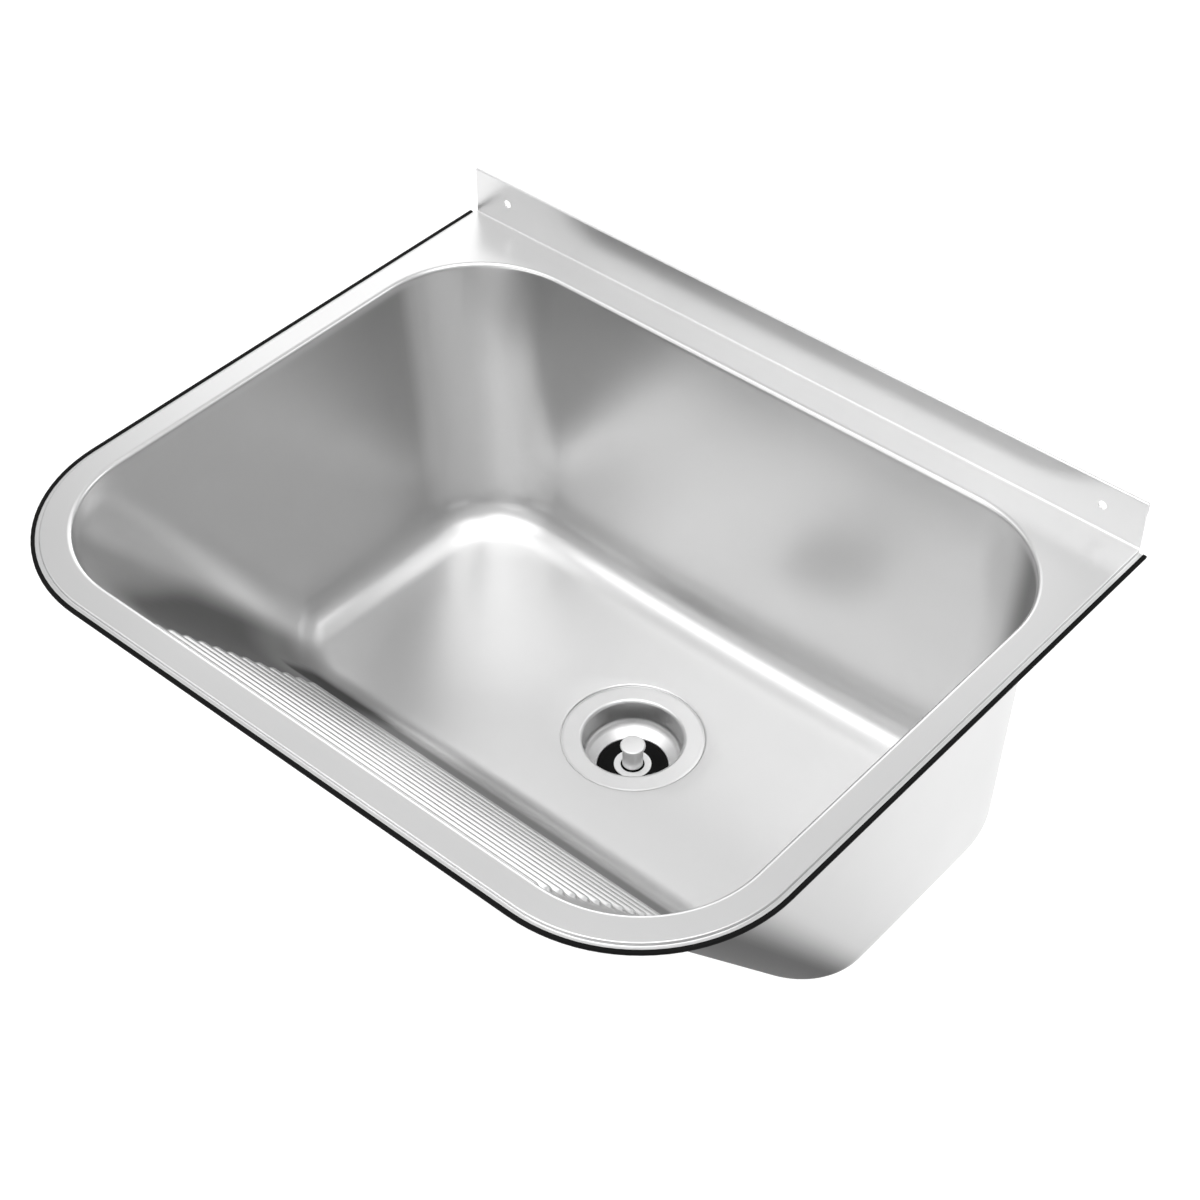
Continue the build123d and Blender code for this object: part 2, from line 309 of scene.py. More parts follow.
def addNoise(tree, vector, scale, detail=2.0):
    node = addNode(tree, "ShaderNodeTexNoise", {"Vector": vector, "Scale": scale, "Detail": detail})
    return node.outputs["Fac"]


def newEffect(name, sizes, fine):
    # a group that turns a place on the piece into fine marks and slow clouds
    group = bpy.data.node_groups.new(name, "ShaderNodeTree")
    addSocket(group, "Vector", "Vector")
    for size in sizes:
        addSocket(group, size, "Float")
    addSocket(group, fine, "Float", "OUTPUT")
    addSocket(group, "Clouds", "Float", "OUTPUT")
    return group, addNode(group, "NodeGroupInput").outputs


def closeEffect(group, size, fineVector, fineDetail, cloudScale):
    fine = addNoise(group, fineVector, 1.0, fineDetail)
    clouds = addNoise(group, size["Vector"], cloudScale, 3.0)
    addNode(group, "NodeGroupOutput", {0: fine, 1: clouds})
    return group


def makePolish():
    # fine polishing lines along X
    group, size = newEffect("satinPolish", ("Line Length", "Line Width"), "Lines")
    along = calc(group, "DIVIDE", 1.0, size["Line Length"])
    across = calc(group, "DIVIDE", 1.0, size["Line Width"])
    scale = addNode(group, "ShaderNodeCombineXYZ", {"X": along, "Y": across, "Z": across})
    vectors = {0: size["Vector"], 1: scale.outputs["Vector"]}
    stretch = addNode(group, "ShaderNodeVectorMath", vectors, operation="MULTIPLY")
    return closeEffect(group, size, stretch.outputs["Vector"], 2.0, 9.0)


def makeTurning():
    # rings left by turning, round the drain's axis
    group, size = newEffect("turnedRings", ("Ring Width",), "Rings")
    vectors = {0: size["Vector"], 1: (0.0, drainY, 0.0)}
    centre = addNode(group, "ShaderNodeVectorMath", vectors, operation="SUBTRACT")
    place = addNode(group, "ShaderNodeSeparateXYZ", {"Vector": centre.outputs["Vector"]}).outputs
    squares = [calc(group, "POWER", place[axis], 2.0) for axis in ("X", "Y")]
    reach = calc(group, "SQRT", calc(group, "ADD", *squares))
    rings = addNode(group, "ShaderNodeCombineXYZ", {
        "X": calc(group, "DIVIDE", reach, size["Ring Width"]),
        "Y": calc(group, "DIVIDE", place["Z"], size["Ring Width"]),
    })
    return closeEffect(group, size, rings.outputs["Vector"], 2.0, 60.0)


def makeSkin():
    # fine pitted skin of rubber and moulded plastic
    group, size = newEffect("mouldedSkin", ("Pit Size",), "Pits")
    finer = calc(group, "DIVIDE", 1.0, size["Pit Size"])
    inputs = {0: size["Vector"], "Scale": finer}
    scale = addNode(group, "ShaderNodeVectorMath", inputs, operation="SCALE")
    return closeEffect(group, size, scale.outputs["Vector"], 4.0, 45.0)


def makeMaterial(name, finish):
    # tone follows the effect's slow clouds, roughness and bump its fine marks
    material, tree, shader = newMaterial(name, finish["shader"])
    coords = addNode(tree, "ShaderNodeTexCoord")
    inputs = dict(finish["sizes"], Vector=coords.outputs["Object"])
    effect = addNode(tree, "ShaderNodeGroup", inputs, node_tree=finish["effect"])
    fine, clouds = effect.outputs[0], effect.outputs[1]
    tone = mixColour(tree, clouds, finish["darkTone"], finish["paleTone"])
    low, high = finish["roughness"]
    grain = spread(tree, fine, low, high)
    # painted shade: where the mark is set, the tone is darkened towards the shade tone and the roughness
    # raised
    if "paintedShadeTone" in finish:
        shadeMark = addNode(tree, "ShaderNodeAttribute", attribute_name="shadeMark").outputs["Fac"]
        tone = mixColour(tree, shadeMark, tone, finish["paintedShadeTone"])
        extra = calc(tree, "MULTIPLY", shadeMark, finish["shadeMarkRoughness"] - high)
        grain = calc(tree, "ADD", grain, extra)
    bump = addNode(tree, "ShaderNodeBump", {
        "Strength": finish["bump"],
        "Distance": finish["bumpDepth"] * mm,
        "Height": fine,
    })
    feed(tree, shader.inputs["Base Color"], tone)
    feed(tree, shader.inputs["Roughness"], grain)
    feed(tree, shader.inputs["Normal"], bump.outputs["Normal"])
    return material


basinFinish = {
    "effect": makePolish(),
    "sizes": {"Line Length": 55.0 * mm, "Line Width": 0.4 * mm},
    "shader": {"Metallic": 1.0},
    "darkTone": grey(0.71),
    "paleTone": grey(0.77),
    "paintedShadeTone": grey(0.07),  # painted shade, where the shade mark is 1
    "shadeMarkRoughness": 0.6,
    "roughness": (0.28, 0.34),
    "bump": 0.06,
    "bumpDepth": 0.02,
}
turnedFinish = {
    "effect": makeTurning(),
    "sizes": {"Ring Width": 0.35 * mm},
    "shader": {"Metallic": 1.0},
    "darkTone": grey(0.76),
    "paleTone": grey(0.84),
    "roughness": (0.28, 0.38),
    "bump": 0.08,
    "bumpDepth": 0.02,
}
cupFinish = dict(turnedFinish, darkTone=grey(0.77), paleTone=grey(0.83), roughness=(0.30, 0.38))
knobFinish = dict(turnedFinish, darkTone=grey(0.90), paleTone=grey(0.95), roughness=(0.46, 0.56))
brassFinish = dict(turnedFinish, darkTone=(0.60, 0.42, 0.17, 1.0), paleTone=(0.74, 0.56, 0.27, 1.0))
rubberFinish = {
    "effect": makeSkin(),
    "sizes": {"Pit Size": 0.5 * mm},
    "shader": {"Specular IOR Level": 0.05},
    "darkTone": grey(0.004),
    "paleTone": grey(0.010),
    "roughness": (0.45, 0.68),
    "bump": 0.15,
    "bumpDepth": 0.05,
}
plasticFinish = dict(
    rubberFinish,
    sizes={"Pit Size": 0.8 * mm},
    shader={"Specular IOR Level": 0.45},
    darkTone=(0.62, 0.62, 0.60, 1.0),
    paleTone=(0.70, 0.70, 0.67, 1.0),
    roughness=(0.32, 0.48))
fibreFinish = dict(
    rubberFinish,
    sizes={"Pit Size": 1.6 * mm},
    shader={"Specular IOR Level": 0.3},
    darkTone=(0.22, 0.08, 0.045, 1.0),
    paleTone=(0.36, 0.16, 0.10, 1.0),
    roughness=(0.6, 0.8))

basinSteel = makeMaterial("basinSteel", basinFinish)
turnedSteel = makeMaterial("turnedSteel", turnedFinish)
cupSteel = makeMaterial("cupSteel", cupFinish)
knobSteel = makeMaterial("knobSteel", knobFinish)
outletBrass = makeMaterial("outletBrass", brassFinish)
blackRubber = makeMaterial("blackRubber", rubberFinish)
nutPlastic = makeMaterial("nutPlastic", plasticFinish)
slipFibre = makeMaterial("slipFibre", fibreFinish)
print("materials made")


# basin: sections of the bowl stacked from the lip to the drain hole, in millimetres

basinForm = {
    "depth": 233.6,
    "sheet": 1.0,
    "mouthRadius": 83.0,
    "lipRadius": 3.0,
    "sideDraft": 2.9,
    "backDraft": 0.8,
    "slopeAngle": 50.4,  # washboard, from level
    "slopeTop": 12.7,
    "frontRadius": 54.0,
    "backRadius": 69.0,
    "floorFillet": 30.0,
    "dishRadius": 3500.0,
    "seatRadius": 49.0,
    "seatDepth": 2.6,
    "shoulderRadius": 1.6,
    "seatBend": 0.6,
    "holeRadius": 37.0,
    "cornerSteps": 24,
    "sideSteps": 12,
    "backSteps": 20,
    "lipSteps": 6,
    "kneeSteps": 8,
    "lowerSteps": 8,
    "filletSteps": 14,
    "floorSteps": 10,
}
ribForm = {
    "count": 12,
    "pitch": 16.1,
    "start": 26.3,
    "length": 310.0,
    "width": 9.5,
    "height": 2.6,
    "blend": 0.2,  # softness of the foot of each rib
    "rowsPerPitch": 14,
    "plainColumns": [18.0, 36.0, 54.0, 72.0, 90.0, 108.0, 124.0, 138.0],
    "endColumns": 14,  # where the rib ends curve down
    "endReach": (9.0, 2.5),  # of those columns, inside and past the rib ends
    "plainEnd": 8.0,  # of the last plain column, past the rib ends
}
ribSizes = ("Pitch", "Start", "Length", "Width", "Height", "Blend")
# painted shade and dark reflections: how far the steel's tone is darkened and its roughness raised, from 0
# to 1
shadeMarkForm = {
    "besideCorner": 0.50,
    "besideFoot": 0.10,
    "besideReach": (78.0, 42.0),  # at the mouth and at the floor
    "backShare": 0.1,  # of the side walls' painted shade, on the back wall
    "rightShare": 0.3,  # of the left front corner's painted shade, in the right one
    "frontCorner": 0.80,
    "cornerEase": 0.3,  # share of that lost towards the floor
    "rightBack": 0.65,
    "crease": 0.68,
    "creaseEnd": 1.0,  # at the left end of the crease
    "outsideCorner": 1.0,
    "outsideFront": 0.3,  # share of the outer corners' painted dark reflection, on the front
    "outsideWall": (0.28, 0.04),  # at the front and at the back
}
# where the painted shade comes in or goes out
shadeMarkEdges = {
    # millimetres of depth
    "lip": (2.5, 9.0),
    "floor": (195.0, 230.0),
    "cornerDepth": (14.0, 60.0),
    "swellDepth": (40.0, 120.0),
    "easeDepth": (150.0, 190.0),
    "outsideTop": (5.0, 20.0),
    "outsideFoot": (217.0, 229.0),
    # degrees round a back corner, from the side
    "sideTurn": (2.0, 15.0),
    "backTurn": (78.0, 90.0),
    "rightBackIn": (20.0, 34.0),
    "rightBackOut": (44.0, 66.0),
    # degrees round a front corner, from the side
    "cornerTop": (48.0, 78.0),
    "cornerLow": (30.0, 54.0),
    "footLeft": (62.0, 88.0),
    "footRight": (40.0, 75.0),
    "outsideIn": (-2.0, 32.0),
    "outsideOut": (66.0, 90.0),
    # millimetres along X, from the ends of the ribs and from the middle
    "besideRibs": (-3.0, 5.0),
    "creaseEnd": (-140.0, -100.0),
    # millimetres down the slope, from the last rib and from the floor's fillet
    "creaseIn": (-2.0, 16.0),
    "creaseOut": (-20.0, 2.0),
    "endOut": (-4.0, 14.0),  # at the left end
}


def makeColumns():
    # one entry for each column round the bowl, anticlockwise from above, starting at the front
    form = basinForm
    ribEnd = ribForm["length"] / 2
    inside, past = ribForm["endReach"]
    dense = np.linspace(ribEnd - inside, ribEnd + past, ribForm["endColumns"])
    right = ribForm["plainColumns"] + list(dense) + [ribEnd + ribForm["plainEnd"]]
    front = [-x for x in reversed(right)] + [0.0] + right
    corner = np.linspace(0.0, 90.0, form["cornerSteps"] + 1)
    side = np.linspace(0.0, 1.0, form["sideSteps"] + 1)[1:-1]
    back = np.linspace(0.0, 1.0, form["backSteps"] + 1)[1:-1]
    columns = [("front", 1, x) for x in front]
    columns += [("frontCorner", 1, angle) for angle in 270.0 + corner]
    columns += [("side", 1, share) for share in side]
    columns += [("backCorner", 1, angle) for angle in corner]
    columns += [("back", 1, share) for share in back]
    columns += [("backCorner", -1, angle) for angle in 90.0 + corner]
    columns += [("side", -1, share) for share in side[::-1]]
    columns += [("frontCorner", -1, angle) for angle in 180.0 + corner]
    return columns


def backTurn(column):
    # angle of a back corner's column from the side (0) to the back (90)
    return column[2] if column[1] > 0 else 180.0 - column[2]


def kneeRadius():
    turn = math.radians(90.0 - basinForm["slopeAngle"])
    return (basinForm["slopeTop"] - basinForm["lipRadius"]) / math.tan(turn / 2)


def frontRun(depth):
    # how far the front wall has come in at a depth: straight, then a knee, then the slope
    slope = math.radians(basinForm["slopeAngle"])
    knee = kneeRadius()
    kneeFall = knee * math.cos(slope)
    fall = max(depth - basinForm["lipRadius"], 0.0)
    curve = knee - math.sqrt(knee ** 2 - min(fall, kneeFall) ** 2)
    return curve + max(fall - kneeFall, 0.0) / math.tan(slope)


def wallPoint(column, depth, inset):
    # place of a column on the wall at a depth below the deck
    form = basinForm
    kind, side, value = column
    fall = max(depth - form["lipRadius"], 0.0)
    share = fall / (form["depth"] - form["lipRadius"])
    topRadius = form["mouthRadius"] - inset
    halfWidth = seamHigh.x / mm - inset - fall * math.tan(math.radians(form["sideDraft"]))
    front = seamLow.y / mm + inset + frontRun(depth)
    back = seamHigh.y / mm - inset - fall * math.tan(math.radians(form["backDraft"]))
    frontRadius = between(topRadius, form["frontRadius"], share)
    backRadius = between(topRadius, form["backRadius"], share)
    if kind == "front":
        return np.array([value, front, -depth])
    if kind == "back":
        return np.array([(halfWidth - backRadius) * (1.0 - 2.0 * value), back, -depth])
    if kind == "side":
        y = between(front + frontRadius, back - backRadius, value)
        return np.array([side * halfWidth, y, -depth])
    radius = frontRadius if kind == "frontCorner" else backRadius
    centreY = front + radius if kind == "frontCorner" else back - radius
    angle = math.radians(value)
    x = side * (halfWidth - radius) + radius * math.cos(angle)
    return np.array([x, centreY + radius * math.sin(angle), -depth])


def wallNormal(column, depth):
    # square to the wall, into the bowl
    kind, side, value = column
    angle = math.radians(value)
    roundCorner = (-math.sin(angle), math.cos(angle), 0.0)
    tangents = {
        "front": (1.0, 0.0, 0.0),
        "back": (-1.0, 0.0, 0.0),
        "side": (0.0, float(side), 0.0),
        "frontCorner": roundCorner,
        "backCorner": roundCorner,
    }
    inset = basinForm["lipRadius"]
    down = wallPoint(column, depth + 0.5, inset) - wallPoint(column, depth - 0.5, inset)
    normal = np.cross(tangents[kind], down)
    return normal / np.linalg.norm(normal)


def dishCentre():
    form = basinForm
    return np.array([0.0, drainY / mm, form["dishRadius"] - form["depth"]])


def filletBall(column):
    # centre of the ball that touches the wall and the dished floor, and the depth where it meets the wall
    form = basinForm
    reach = form["dishRadius"] - form["floorFillet"]
    high, low = 0.6 * form["depth"], form["depth"]
    for _ in range(40):
        depth = (high + low) / 2
        centre = wallPoint(column, depth, form["lipRadius"])
        centre = centre + form["floorFillet"] * wallNormal(column, depth)
        if np.linalg.norm(centre - dishCentre()) < reach:
            high = depth
        else:
            low = depth
    return centre, depth


def seatProfile():
    # radius and height below the deck, from the floor over the shoulder to the edge of the drain hole
    form = basinForm
    shoulder, turn, hole = form["shoulderRadius"], form["seatBend"], form["holeRadius"]
    top, inner = form["seatRadius"] + shoulder, form["seatRadius"] - turn
    floor = top ** 2 / (2 * form["dishRadius"]) - form["depth"]
    seat = -form["depth"] - form["seatDepth"]
    points = []
    for angle in np.radians(np.linspace(90.0, 180.0, 6)):
        points.append((top + shoulder * math.cos(angle), floor + shoulder * (math.sin(angle) - 1.0)))
    for angle in np.radians(np.linspace(0.0, -90.0, 4)):
        points.append((inner + turn * math.cos(angle), seat + turn * (math.sin(angle) + 1.0)))
    return points + [((inner + hole) / 2, seat), (hole, seat)]


def makeRibTree():
    # pushes the marked part of the slope out into round-ended ribs
    tree, size = newTree("pressRibs", ribSizes + ("Count", "Slope"))
    do = partial(calc, tree)
    along = do("SUBTRACT", readMark(tree, "along"), size["Start"])
    nearest = do("MAXIMUM", do("ROUND", do("DIVIDE", along, size["Pitch"])), 0.0)
    nearest = do("MINIMUM", nearest, do("SUBTRACT", size["Count"], 1.0))
    across = do("SUBTRACT", along, do("MULTIPLY", nearest, size["Pitch"]))
    halfWidth = do("MULTIPLY", size["Width"], 0.5)
    straight = do("SUBTRACT", do("MULTIPLY", size["Length"], 0.5), halfWidth)
    sideways = do("ABSOLUTE", readPlace(tree)["X"])
    beyond = do("MAXIMUM", do("SUBTRACT", sideways, straight), 0.0)
    off = do("ADD", do("POWER", across, 2.0), do("POWER", beyond, 2.0))
    # radius of the round bar whose back is the rib
    bar = do("ADD", do("POWER", halfWidth, 2.0), do("POWER", size["Height"], 2.0))
    bar = do("DIVIDE", bar, do("MULTIPLY", size["Height"], 2.0))
    rise = do("MAXIMUM", do("SUBTRACT", do("POWER", bar, 2.0), off), 0.0)
    cap = do("SUBTRACT", do("SQRT", rise), do("SUBTRACT", bar, size["Height"]))
    soft = do("ADD", do("POWER", cap, 2.0), do("POWER", size["Blend"], 2.0))
    lift = do("MULTIPLY", do("ADD", cap, do("SQRT", soft)), 0.5)
    lift = do("MULTIPLY", lift, readMark(tree, "press"))
    push = addNode(tree, "ShaderNodeCombineXYZ", {
        "Y": do("MULTIPLY", lift, do("SINE", size["Slope"])),
        "Z": do("MULTIPLY", lift, do("COSINE", size["Slope"])),
    })
    return movePoints(tree, size, push.outputs["Vector"])


def fade(low, high, value):
    share = np.clip((value - low) / (high - low), 0.0, 1.0)
    return share * share * (3.0 - 2.0 * share)


def mixEdges(first, second, share):
    return [between(a, b, share) for a, b in zip(first, second)]


def paintedShadeMarks(columns, rows, footRow):
    # painted shade of each point of the bowl, with its added roughness, on its inside and on its outside
    shadeMark, edge = shadeMarkForm, shadeMarkEdges
    places = np.array(rows)
    depth = -places[:, :, 2]
    lengths = {}
    for kind in ("side", "back"):
        first, last = [wallPoint((kind, 1, share), 100.0, basinForm["lipRadius"]) for share in (0.0, 1.0)]
        lengths[kind] = np.linalg.norm(last - first)
    ribEnd = ribForm["length"] / 2
    away = np.full(len(columns), 1000.0)  # from the nearest back corner, along the wall
    beside = np.ones(len(columns))
    turns = np.full(len(columns), 90.0)  # round a front corner, from the side (0) to the front (90)
    corner, foot, end, rightBack = np.zeros((4, len(columns)))
    nearWall, farWall = shadeMark["outsideWall"]
    outside = np.full(len(columns), farWall)
    for index, (kind, side, value) in enumerate(columns):
        if kind == "side":
            away[index] = (1.0 - value) * lengths[kind]
            outside[index] = between(farWall, nearWall, (1.0 - value) ** 2)
        elif kind == "back":
            away[index] = min(value, 1.0 - value) * lengths[kind]
            beside[index] = shadeMark["backShare"]
        elif kind == "backCorner":
            turn = backTurn(columns[index])
            away[index] = 0.0
            onBack = shadeMark["backShare"] * fade(*edge["backTurn"], turn)
            beside[index] = 1.0 - fade(*edge["sideTurn"], turn) + onBack
            if side > 0:
                patch = 1.0 - fade(*edge["rightBackOut"], turn)
                rightBack[index] = patch * fade(*edge["rightBackIn"], turn)
        elif kind == "frontCorner":
            turn = 360.0 - value if side > 0 else value - 180.0
            turns[index] = turn
            corner[index] = shadeMark["rightShare"] if side > 0 else 1.0
            foot[index] = fade(*edge["footRight" if side > 0 else "footLeft"], turn)
            end[index] = 0.0 if side > 0 else 1.0
            shade = between(1.0, shadeMark["outsideFront"], fade(*edge["outsideOut"], turn))
            shade = shade * fade(*edge["outsideIn"], turn)
            outside[index] = between(nearWall, shadeMark["outsideCorner"], shade)
        else:
            plain = fade(*edge["besideRibs"], abs(value) - ribEnd)
            corner[index] = plain * (shadeMark["rightShare"] if value > 0 else 1.0)
            foot[index] = 1.0
            end[index] = 1.0 - fade(*edge["creaseEnd"], value)
            outside[index] = between(nearWall, shadeMark["outsideCorner"], shadeMark["outsideFront"])
    # the plain strip of the slope between the last rib and the floor's fillet
    steps = np.linalg.norm(np.diff(places[:, columns.index(("front", 1, 0.0))], axis=0), axis=1)
    run = np.concatenate([[0.0], np.cumsum(steps)])[:, None] - np.sum(steps[:footRow])
    pastRibs = run - run[footRow - basinForm["lowerSteps"]]
    crease = fade(*edge["creaseIn"], pastRibs)
    crease = crease * (1.0 - fade(*mixEdges(edge["creaseOut"], edge["endOut"], end), run))
    crease = crease * between(shadeMark["crease"], shadeMark["creaseEnd"], end)
    down = np.clip(depth / basinForm["depth"], 0.0, 1.0)
    near = between(shadeMark["besideCorner"], shadeMark["besideFoot"], down)
    below = 1.0 - fade(*edge["floor"], depth)
    wall = fade(*edge["lip"], depth) * below
    # painted shade beside the back corners, fading along the walls and towards the lip and the floor
    inside = near * beside * np.exp(-(away / between(*shadeMark["besideReach"], down)) ** 2) * wall
    # a patch of painted dark reflection round the right back corner
    inside = np.maximum(inside, shadeMark["rightBack"] * rightBack * wall)
    # a front corner's patch of painted shade swells towards the side further down
    swell = fade(*edge["swellDepth"], depth)
    corner = corner * fade(*mixEdges(edge["cornerTop"], edge["cornerLow"], swell), turns)
    corner = corner * fade(*edge["cornerDepth"], depth) * below
    corner = corner * (1.0 - shadeMark["cornerEase"] * fade(*edge["easeDepth"], depth))
    inside = np.maximum(inside, shadeMark["frontCorner"] * corner)
    # painted shade in the crease at the foot of the washboard
    inside = np.maximum(inside, foot * crease)
    # painted dark reflection on the outside, strongest round the bottom front corners
    outside = outside * fade(*edge["outsideTop"], depth) * (1.0 - fade(*edge["outsideFoot"], depth))
    return inside, outside


def makeBasin():
    form = basinForm
    columns = makeColumns()
    lip, dish = form["lipRadius"], form["dishRadius"]
    slope = math.radians(form["slopeAngle"])
    rows = []
    for angle in np.radians(np.linspace(0.0, 90.0, form["lipSteps"] + 1)):
        drop = np.array([0.0, 0.0, lip * (math.cos(angle) - 1.0)])
        rows.append([wallPoint(c, 0.0, lip * math.sin(angle)) + drop for c in columns])
    for angle in np.linspace(0.0, math.pi / 2 - slope, form["kneeSteps"] + 1)[1:]:
        rows.append([wallPoint(c, lip + kneeRadius() * math.sin(angle), lip) for c in columns])
    ribRun = ribForm["count"] * ribForm["pitch"]
    ribRows = ribForm["count"] * ribForm["rowsPerPitch"] + 1
    firstRib = len(rows)
    alongs = ribForm["start"] - ribForm["pitch"] / 2 + np.linspace(0.0, ribRun, ribRows)
    for along in alongs:
        ribDepth = form["slopeTop"] + along * math.sin(slope)
        rows.append([wallPoint(c, ribDepth, lip) for c in columns])
    balls = [filletBall(c) for c in columns]
    for step in range(1, form["lowerSteps"] + 1):
        share = step / form["lowerSteps"]
        depths = [between(ribDepth, touch, share) for _, touch in balls]
        rows.append([wallPoint(c, depth, lip) for c, depth in zip(columns, depths)])
    foot = rows[-1]
    footRow = len(rows) - 1
    fillet = [[] for _ in range(form["filletSteps"])]
    for start, (centre, _) in zip(foot, balls):
        outward = centre - dishCentre()
        onFloor = form["floorFillet"] * outward / np.linalg.norm(outward)
        for step, row in enumerate(fillet):
            row.append(centre + arcTurn(start - centre, onFloor, (step + 1) / form["filletSteps"]))
    rows += fillet
    seat = seatProfile()
    drain = np.array([0.0, drainY / mm, 0.0])
    spokes = []
    for point in fillet[-1]:
        flat = (point - drain) * (1.0, 1.0, 0.0)
        spokes.append((flat / np.linalg.norm(flat), np.linalg.norm(flat)))
    for step in range(1, form["floorSteps"]):
        row = []
        for spoke, reach in spokes:
            radius = reach + (seat[0][0] - reach) * step / form["floorSteps"]
            height = dish - math.sqrt(dish ** 2 - radius ** 2) - form["depth"]
            row.append(drain + spoke * radius + (0.0, 0.0, height))
        rows.append(row)
    for radius, height in seat:
        rows.append([drain + spoke * radius + (0.0, 0.0, height) for spoke, _ in spokes])
    places = np.array(rows).reshape(-1, 3) * mm + (0.0, 0.0, deckZ)
    piece = newPiece("basin_bowl", places, gridFaces(len(rows), len(columns)))
    along, press = np.zeros((2, len(rows), len(columns)))
    onFront = np.array([column[0] == "front" for column in columns])
    along[firstRib:firstRib + ribRows] = alongs[:, None] * mm
    press[firstRib:firstRib + ribRows] = onFront
    markPoints(piece, "along", along.ravel())
    markPoints(piece, "press", press.ravel())
    values = {name: ribForm[name.lower()] * mm for name in ribSizes}
    values.update(Count=float(ribForm["count"]), Slope=slope, Material=basinSteel)
    runTree(piece, makeRibTree(), values)
    wall = piece.modifiers.new("sheet", "SOLIDIFY")
    wall.thickness = form["sheet"] * mm
    wall.offset = -1.0
    wall.use_even_offset = True
    applyModifiers(piece)
    # painted shade and dark reflections, inside and out, kept as a mark on the points
    # Solidify keeps the inside's points first and puts the outside's after them
    inside, outside = paintedShadeMarks(columns, rows, footRow)
    markPoints(piece, "shadeMark", np.concatenate([inside.ravel(), outside.ravel()]))
    shadeSmooth(piece, 40.0)
    return piece


basin = makeBasin()
dress(basin, "sink", basinSteel, "satin_stainless", "basin")
print("basin made:", len(basin.data.polygons), "faces")


# rim: one closed sheet round the mouth, stepped down on three sides and folded up at the wall

rimForm = {
    "sheet": 1.0,
    "deckInset": 5.4,  # nose of the edge strip to the step
    "cornerRadius": 104.0,  # at the nose of the edge strip
    "stepDrop": 2.0,
    "stepEdge": 0.8,
    "stepFoot": 0.5,
    "foldRadius": 1.2,
    "upstandHeight": 35.0,
    "hemHeight": 8.5,
    "hemGap": 0.2,
    "holeSpacing": 480.0,
    "holeDiameter": 6.0,
    "holeSteps": 48,
    "cutterReach": (-8.0, 4.0),  # of what cuts the holes, along Y
    "margin": 0.3,  # from a bend to the next points, so that the flat between bends shades flat
    "flatRows": 4,
    "bendSteps": 6,
}


def foldLine():
    # where the flat deck ends at the back and the fold begins
    form = rimForm
    return rimHigh.y / mm - 2 * form["sheet"] - form["hemGap"] - form["foldRadius"]


def splitColumns():
    # columns of the stepped sides and front, and of the fold at the back, from corner to corner
    columns = makeColumns()
    corners = [i for i, column in enumerate(columns) if column[0] == "backCorner"]
    right, left = [i for i in corners if abs(backTurn(columns[i]) - 45.0) < 0.01]
    return columns[left:] + columns[:right + 1], columns[right:left + 1]


def rimPoint(column, inset):
    # place of a column on the rim's outline, moved in from the nose of the edge strip
    kind, side, value = column
    half = stripHigh.x / mm - inset
    front = stripLow.y / mm + inset
    radius = rimForm["cornerRadius"] - inset
    if kind == "front":
        return np.array([value, front])
    if kind == "frontCorner":
        angle = math.radians(value)
        x = side * (half - radius) + radius * math.cos(angle)
        return np.array([x, front + radius + radius * math.sin(angle)])
    if kind == "side":
        return np.array([side * half, wallPoint(column, 0.0, 0.0)[1]])
    centreX = seamHigh.x / mm - basinForm["mouthRadius"]
    centreY = seamHigh.y / mm - basinForm["mouthRadius"]
    if kind == "back":
        return np.array([centreX * (1.0 - 2.0 * value), foldLine()])
    # a back corner's column reaches the side up to 45 degrees and the fold after that
    turn = math.radians(backTurn(column))
    if backTurn(column) <= 45.0:
        return np.array([side * half, centreY + (foldLine() - centreY) * math.tan(turn)])
    return np.array([side * (centreX + (half - centreX) / math.tan(turn)), foldLine()])


def stepSection():
    # (inset, level) from the edge of the flat deck over the step to the flange and back underneath
    form = rimForm
    inset, edge, foot, sheet = form["deckInset"], form["stepEdge"], form["stepFoot"], form["sheet"]
    drop = form["stepDrop"]
    turns = np.radians(np.linspace(0.0, 90.0, form["bendSteps"] + 1))
    points = [(inset + edge * (1.0 - math.sin(a)), edge * (math.cos(a) - 1.0)) for a in turns]
    points += [(inset - foot * (1.0 - math.cos(a)), foot * (1.0 - math.sin(a)) - drop) for a in turns]
    flangeEdge = (stripHigh.x - rimHigh.x) / mm
    points += [(inset - foot - form["margin"], -drop), (flangeEdge, -drop), (flangeEdge, -drop - sheet)]
    outer = foot + sheet
    for a in turns[::-1]:
        points.append((inset - foot + outer * math.cos(a), foot - drop - outer * math.sin(a)))
    return points + [(inset + sheet, -sheet)]


def foldSection():
    # (Y, level) from the edge of the flat deck up the upstand's front, over the hem and down its back
    form = rimForm
    fold, sheet, height = form["foldRadius"], form["sheet"], form["upstandHeight"]
    margin = form["margin"]
    start = foldLine()
    turns = np.radians(np.linspace(0.0, 90.0, form["bendSteps"] + 1))
    points = [(start + fold * math.sin(a), fold * (1.0 - math.cos(a))) for a in turns]
    front = start + fold
    hem = sheet + form["hemGap"] / 2  # half the thickness of the hem
    points += [(front, fold + margin), (front, height - hem - margin)]
    for a in np.radians(np.linspace(0.0, 180.0, 2 * form["bendSteps"] + 1)):
        points.append((front + hem - hem * math.cos(a), height - hem + hem * math.sin(a)))
    back = front + 2 * hem
    foot = height - form["hemHeight"]
    points += [(back, height - hem - margin), (back, foot), (back - sheet, foot)]
    points += [(back - sheet, height - hem), (front + sheet, height - hem), (front + sheet, fold + margin)]
    outer = fold + sheet
    return points + [(start + outer * math.sin(a), fold - outer * math.cos(a)) for a in turns[::-1]]


